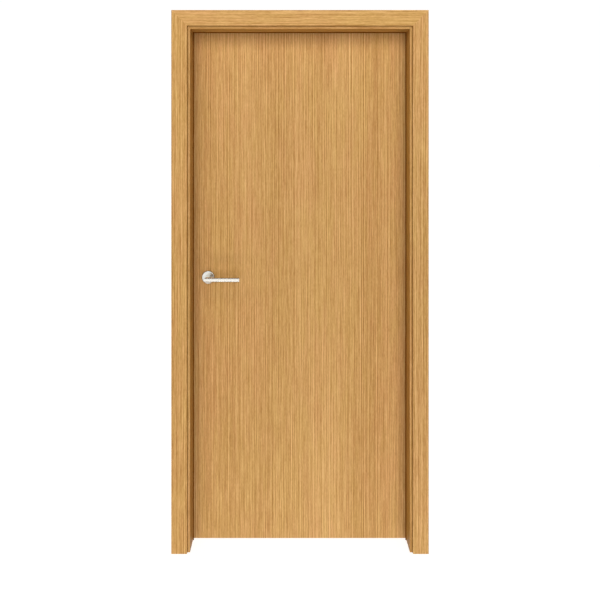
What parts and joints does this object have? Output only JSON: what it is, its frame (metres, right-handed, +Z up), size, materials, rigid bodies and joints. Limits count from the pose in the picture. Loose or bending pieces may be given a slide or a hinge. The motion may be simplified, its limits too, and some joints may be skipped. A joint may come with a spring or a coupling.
{
  "type": "flush door in its frame",
  "caption": "Veneered flush door leaf hung at the back of a deep plain lining with flat mitred casings, with a round-bar lever on a round rose.",
  "frame": {"origin": "on the wall face of the hinge jamb, at floor level, half way through the lining's depth", "axes": "+X to the right as seen from the reveal side, +Y through the wall from the reveal side to the hinge side, +Z up"},
  "size_m": [1.01, 0.1835, 2.085],
  "materials": {
    "leaf_veneer": "satin lacquered light oak veneer, straight vertical grain",
    "casing_veneer": "satin lacquered light oak veneer, grain along each piece",
    "lining_veneer": "satin lacquered light oak veneer, grain along each piece",
    "leaf_framing": "lacquered light oak edge",
    "core_board": "raw board",
    "seal": "matt dark brown",
    "handle_steel": "satin stainless steel",
    "hinge_steel": "satin steel"
  },
  "bodies": {
    "frame": {"hinge_jamb": "lining_veneer", "latch_jamb": "lining_veneer", "head_jamb": "lining_veneer", "hinge_stop": "lining_veneer", "latch_stop": "lining_veneer", "head_stop": "lining_veneer", "front_casing_left": "casing_veneer", "front_casing_right": "casing_veneer", "front_casing_head": "casing_veneer", "back_casing_left": "casing_veneer", "back_casing_right": "casing_veneer", "back_casing_head": "casing_veneer", "seal_left": "seal", "seal_right": "seal", "seal_head": "seal", "strike_plate": "hinge_steel", "upper_hinge_frame_flap": "hinge_steel", "middle_hinge_frame_flap": "hinge_steel", "lower_hinge_frame_flap": "hinge_steel", "upper_hinge_pin": "hinge_steel", "middle_hinge_pin": "hinge_steel", "lower_hinge_pin": "hinge_steel"},
    "leaf": {"front_face_panel": "leaf_veneer", "back_face_panel": "leaf_veneer", "lock_stile": "leaf_framing", "hinge_stile": "leaf_framing", "top_rail": "leaf_framing", "bottom_rail": "leaf_framing", "leaf_core": "core_board", "latch_faceplate": "hinge_steel", "latch_case": "hinge_steel", "latch_bolt": "hinge_steel", "upper_hinge_leaf_flap": "hinge_steel", "middle_hinge_leaf_flap": "hinge_steel", "lower_hinge_leaf_flap": "hinge_steel", "front_rose": "handle_steel", "back_rose": "handle_steel"},
    "handle": {"front_lever": "handle_steel", "back_lever": "handle_steel", "lever_spindle": "handle_steel"}
  },
  "joints": [
    {"name": "door_swing", "type": "hinge", "parent": "frame", "child": "leaf", "pos_m": [-0.0275, 0.0645, 1.035], "axis": [0, 0, -1], "range_deg": [0, 170]},
    {"name": "lever_turn", "type": "hinge", "parent": "leaf", "child": "handle", "pos_m": [-0.82, 0.0375, 1.035], "axis": [0, 1, 0], "range_deg": [0, 40], "stiffness_Nm_per_rad": 1.6, "springref_deg": -28.65}
  ]
}
